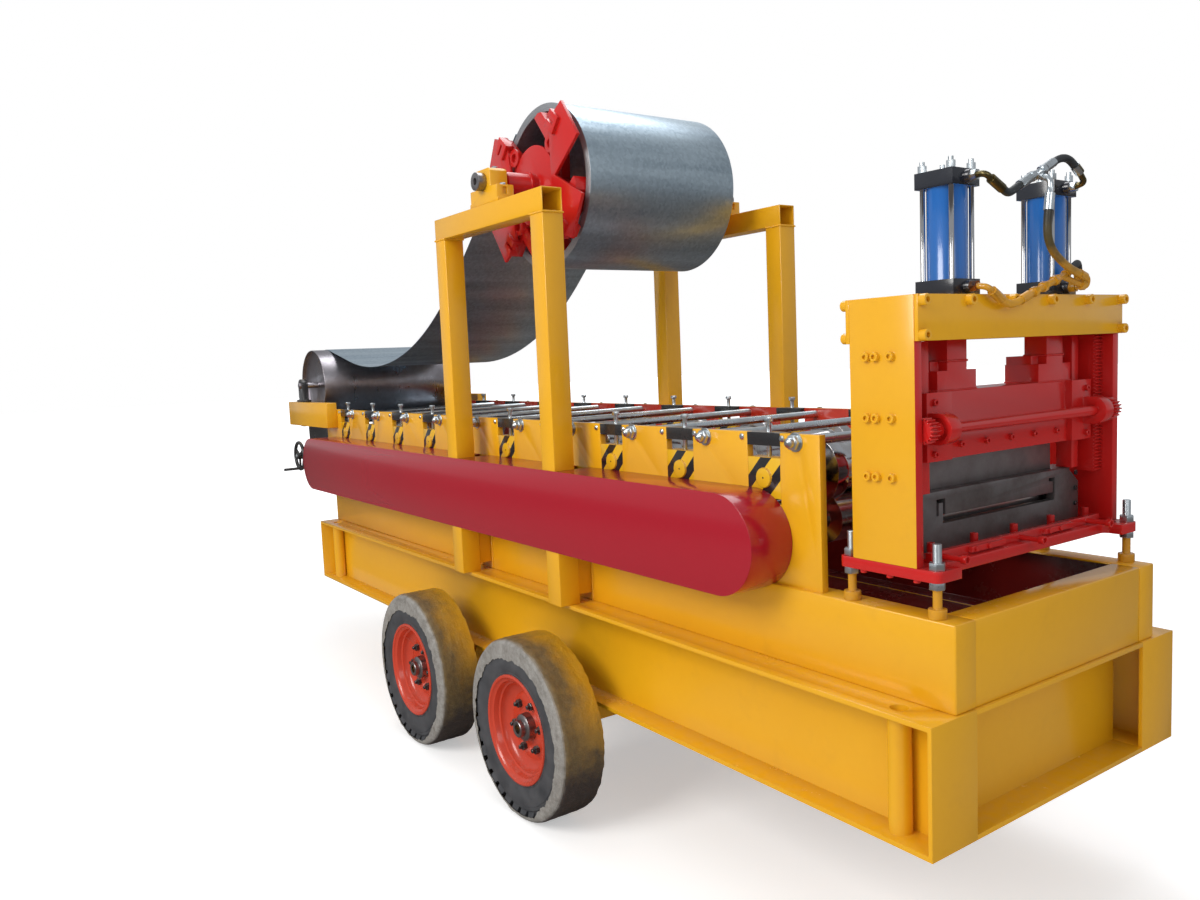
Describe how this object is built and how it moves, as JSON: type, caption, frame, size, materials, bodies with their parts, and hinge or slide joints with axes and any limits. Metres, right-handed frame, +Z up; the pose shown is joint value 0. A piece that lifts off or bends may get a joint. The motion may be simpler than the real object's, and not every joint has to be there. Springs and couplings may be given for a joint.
{
  "type": "roll forming machine",
  "caption": "Wheeled roll forming machine for metal sheet: overhead decoiler with a coil, guide drum, roll stations, chain cover and a hydraulic cutting press.",
  "frame": {"origin": "middle of the whole machine's footprint, on the ground under the wheels", "axes": "+X along the machine from the entry drum to the cutting press, +Y away from the side with the chain cover, +Z up"},
  "size_m": [5.17, 1.7, 2.8239],
  "materials": {
    "machine_yellow": "gloss machine enamel",
    "press_red": "gloss red enamel",
    "cover_red": "gloss crimson enamel",
    "pan_red": "dark red paint",
    "tool_steel": "ground tool steel",
    "roll_steel": "ground and plated",
    "zinc": "zinc plated",
    "galvanised": "galvanised sheet",
    "black": "black oxide",
    "cylinder_blue": "gloss blue enamel",
    "wheel_rubber": "rubber tyre on an orange steel rim",
    "hose_rubber": "hydraulic hose cover",
    "drum_steel": "worn drum"
  },
  "bodies": {
    "root": {"axles": "machine_yellow", "base_frame": "machine_yellow", "bearing_blocks": "machine_yellow", "chain_cover": "cover_red", "cylinders": "cylinder_blue", "decoiler_frame": "machine_yellow", "die_clamps": "press_red", "drum_bearings": "black", "drum_cradles": "machine_yellow", "hose_drop": "hose_rubber", "hose_fittings": "zinc", "hose_low_far": "hose_rubber", "hose_low_near": "hose_rubber", "hose_top_far": "hose_rubber", "hose_top_near": "hose_rubber", "infeed_table": "black", "lower_die": "tool_steel", "mandrel_bearings": "machine_yellow", "press_base_plate": "press_red", "press_feet": "zinc", "press_guides": "press_red", "press_head": "machine_yellow", "press_side_plates": "machine_yellow", "side_plates": "machine_yellow", "slot_bridges": "black", "strip": "galvanised", "tie_rods": "zinc", "tub_floor": "pan_red", "tub_frame": "machine_yellow"},
    "wheel_front_near": {"wheel_front_near": "wheel_rubber"},
    "wheel_front_far": {"wheel_front_far": "wheel_rubber"},
    "wheel_rear_near": {"wheel_rear_near": "wheel_rubber"},
    "wheel_rear_far": {"wheel_rear_far": "wheel_rubber"},
    "decoiler": {"mandrel": "press_red", "coil": "galvanised"},
    "guide_drum": {"guide_drum": "drum_steel"},
    "handwheel": {"handwheel": "black"},
    "lower_roll_01": {"lower_roll_01": "roll_steel"},
    "upper_roll_01": {"upper_roll_01": "roll_steel"},
    "lower_roll_02": {"lower_roll_02": "roll_steel"},
    "upper_roll_02": {"upper_roll_02": "roll_steel"},
    "lower_roll_03": {"lower_roll_03": "roll_steel"},
    "upper_roll_03": {"upper_roll_03": "roll_steel"},
    "lower_roll_04": {"lower_roll_04": "roll_steel"},
    "upper_roll_04": {"upper_roll_04": "roll_steel"},
    "lower_roll_05": {"lower_roll_05": "roll_steel"},
    "upper_roll_05": {"upper_roll_05": "roll_steel"},
    "lower_roll_06": {"lower_roll_06": "roll_steel"},
    "upper_roll_06": {"upper_roll_06": "roll_steel"},
    "lower_roll_07": {"lower_roll_07": "roll_steel"},
    "upper_roll_07": {"upper_roll_07": "roll_steel"},
    "lower_roll_08": {"lower_roll_08": "roll_steel"},
    "upper_roll_08": {"upper_roll_08": "roll_steel"},
    "lower_roll_09": {"lower_roll_09": "roll_steel"},
    "upper_roll_09": {"upper_roll_09": "roll_steel"},
    "lower_roll_10": {"lower_roll_10": "roll_steel"},
    "upper_roll_10": {"upper_roll_10": "roll_steel"},
    "ram": {"ram": "press_red", "blade": "tool_steel"},
    "equaliser_shaft": {"equaliser_shaft": "press_red"}
  },
  "joints": [
    {"name": "wheel_front_near_spin", "type": "hinge", "parent": "root", "child": "wheel_front_near", "pos_m": [0.877, -0.755, 0.353], "axis": [0, 1, 0], "continuous": true},
    {"name": "wheel_front_far_spin", "type": "hinge", "parent": "root", "child": "wheel_front_far", "pos_m": [0.877, 0.755, 0.353], "axis": [0, 1, 0], "continuous": true},
    {"name": "wheel_rear_near_spin", "type": "hinge", "parent": "root", "child": "wheel_rear_near", "pos_m": [-0.09, -0.755, 0.353], "axis": [0, 1, 0], "continuous": true},
    {"name": "wheel_rear_far_spin", "type": "hinge", "parent": "root", "child": "wheel_rear_far", "pos_m": [-0.09, 0.755, 0.353], "axis": [0, 1, 0], "continuous": true},
    {"name": "decoiler_spin", "type": "hinge", "parent": "root", "child": "decoiler", "pos_m": [0.505, 0, 2.485], "axis": [0, 1, 0], "continuous": true},
    {"name": "guide_drum_spin", "type": "hinge", "parent": "root", "child": "guide_drum", "pos_m": [-2.351, 0, 1.66], "axis": [0, 1, 0], "continuous": true},
    {"name": "handwheel_spin", "type": "hinge", "parent": "root", "child": "handwheel", "pos_m": [-2.422, -0.56, 1.19], "axis": [0, 1, 0], "continuous": true},
    {"name": "lower_roll_01_spin", "type": "hinge", "parent": "root", "child": "lower_roll_01", "pos_m": [-1.699, 0, 1.21], "axis": [0, 1, 0], "continuous": true},
    {"name": "upper_roll_01_spin", "type": "hinge", "parent": "root", "child": "upper_roll_01", "pos_m": [-1.699, 0, 1.37], "axis": [0, 1, 0], "continuous": true},
    {"name": "lower_roll_02_spin", "type": "hinge", "parent": "root", "child": "lower_roll_02", "pos_m": [-1.299, 0, 1.21], "axis": [0, 1, 0], "continuous": true},
    {"name": "upper_roll_02_spin", "type": "hinge", "parent": "root", "child": "upper_roll_02", "pos_m": [-1.299, 0, 1.37], "axis": [0, 1, 0], "continuous": true},
    {"name": "lower_roll_03_spin", "type": "hinge", "parent": "root", "child": "lower_roll_03", "pos_m": [-0.899, 0, 1.21], "axis": [0, 1, 0], "continuous": true},
    {"name": "upper_roll_03_spin", "type": "hinge", "parent": "root", "child": "upper_roll_03", "pos_m": [-0.899, 0, 1.37], "axis": [0, 1, 0], "continuous": true},
    {"name": "lower_roll_04_spin", "type": "hinge", "parent": "root", "child": "lower_roll_04", "pos_m": [-0.499, 0, 1.21], "axis": [0, 1, 0], "continuous": true},
    {"name": "upper_roll_04_spin", "type": "hinge", "parent": "root", "child": "upper_roll_04", "pos_m": [-0.499, 0, 1.37], "axis": [0, 1, 0], "continuous": true},
    {"name": "lower_roll_05_spin", "type": "hinge", "parent": "root", "child": "lower_roll_05", "pos_m": [-0.099, 0, 1.21], "axis": [0, 1, 0], "continuous": true},
    {"name": "upper_roll_05_spin", "type": "hinge", "parent": "root", "child": "upper_roll_05", "pos_m": [-0.099, 0, 1.37], "axis": [0, 1, 0], "continuous": true},
    {"name": "lower_roll_06_spin", "type": "hinge", "parent": "root", "child": "lower_roll_06", "pos_m": [0.301, 0, 1.21], "axis": [0, 1, 0], "continuous": true},
    {"name": "upper_roll_06_spin", "type": "hinge", "parent": "root", "child": "upper_roll_06", "pos_m": [0.301, 0, 1.37], "axis": [0, 1, 0], "continuous": true},
    {"name": "lower_roll_07_spin", "type": "hinge", "parent": "root", "child": "lower_roll_07", "pos_m": [0.701, 0, 1.21], "axis": [0, 1, 0], "continuous": true},
    {"name": "upper_roll_07_spin", "type": "hinge", "parent": "root", "child": "upper_roll_07", "pos_m": [0.701, 0, 1.37], "axis": [0, 1, 0], "continuous": true},
    {"name": "lower_roll_08_spin", "type": "hinge", "parent": "root", "child": "lower_roll_08", "pos_m": [1.101, 0, 1.21], "axis": [0, 1, 0], "continuous": true},
    {"name": "upper_roll_08_spin", "type": "hinge", "parent": "root", "child": "upper_roll_08", "pos_m": [1.101, 0, 1.37], "axis": [0, 1, 0], "continuous": true},
    {"name": "lower_roll_09_spin", "type": "hinge", "parent": "root", "child": "lower_roll_09", "pos_m": [1.501, 0, 1.21], "axis": [0, 1, 0], "continuous": true},
    {"name": "upper_roll_09_spin", "type": "hinge", "parent": "root", "child": "upper_roll_09", "pos_m": [1.501, 0, 1.37], "axis": [0, 1, 0], "continuous": true},
    {"name": "lower_roll_10_spin", "type": "hinge", "parent": "root", "child": "lower_roll_10", "pos_m": [1.901, 0, 1.21], "axis": [0, 1, 0], "continuous": true},
    {"name": "upper_roll_10_spin", "type": "hinge", "parent": "root", "child": "upper_roll_10", "pos_m": [1.901, 0, 1.37], "axis": [0, 1, 0], "continuous": true},
    {"name": "press_stroke", "type": "slide", "parent": "root", "child": "ram", "axis": [0, 0, -1], "range_m": [0, 0.045]},
    {"name": "equaliser_turn", "type": "hinge", "parent": "ram", "child": "equaliser_shaft", "pos_m": [2.459, 0, 1.531], "axis": [0, 1, 0], "range_deg": [0, 81.85]}
  ],
  "couplings": [
    {"joint": "upper_roll_01_spin", "follows": "lower_roll_01_spin", "ratio": -1},
    {"joint": "lower_roll_02_spin", "follows": "lower_roll_01_spin", "ratio": 1},
    {"joint": "upper_roll_02_spin", "follows": "lower_roll_01_spin", "ratio": -1},
    {"joint": "lower_roll_03_spin", "follows": "lower_roll_01_spin", "ratio": 1},
    {"joint": "upper_roll_03_spin", "follows": "lower_roll_01_spin", "ratio": -1},
    {"joint": "lower_roll_04_spin", "follows": "lower_roll_01_spin", "ratio": 1},
    {"joint": "upper_roll_04_spin", "follows": "lower_roll_01_spin", "ratio": -1},
    {"joint": "lower_roll_05_spin", "follows": "lower_roll_01_spin", "ratio": 1},
    {"joint": "upper_roll_05_spin", "follows": "lower_roll_01_spin", "ratio": -1},
    {"joint": "lower_roll_06_spin", "follows": "lower_roll_01_spin", "ratio": 1},
    {"joint": "upper_roll_06_spin", "follows": "lower_roll_01_spin", "ratio": -1},
    {"joint": "lower_roll_07_spin", "follows": "lower_roll_01_spin", "ratio": 1},
    {"joint": "upper_roll_07_spin", "follows": "lower_roll_01_spin", "ratio": -1},
    {"joint": "lower_roll_08_spin", "follows": "lower_roll_01_spin", "ratio": 1},
    {"joint": "upper_roll_08_spin", "follows": "lower_roll_01_spin", "ratio": -1},
    {"joint": "lower_roll_09_spin", "follows": "lower_roll_01_spin", "ratio": 1},
    {"joint": "upper_roll_09_spin", "follows": "lower_roll_01_spin", "ratio": -1},
    {"joint": "lower_roll_10_spin", "follows": "lower_roll_01_spin", "ratio": 1},
    {"joint": "upper_roll_10_spin", "follows": "lower_roll_01_spin", "ratio": -1},
    {"joint": "equaliser_turn", "follows": "press_stroke", "rad_per_m": 31.746}
  ]
}
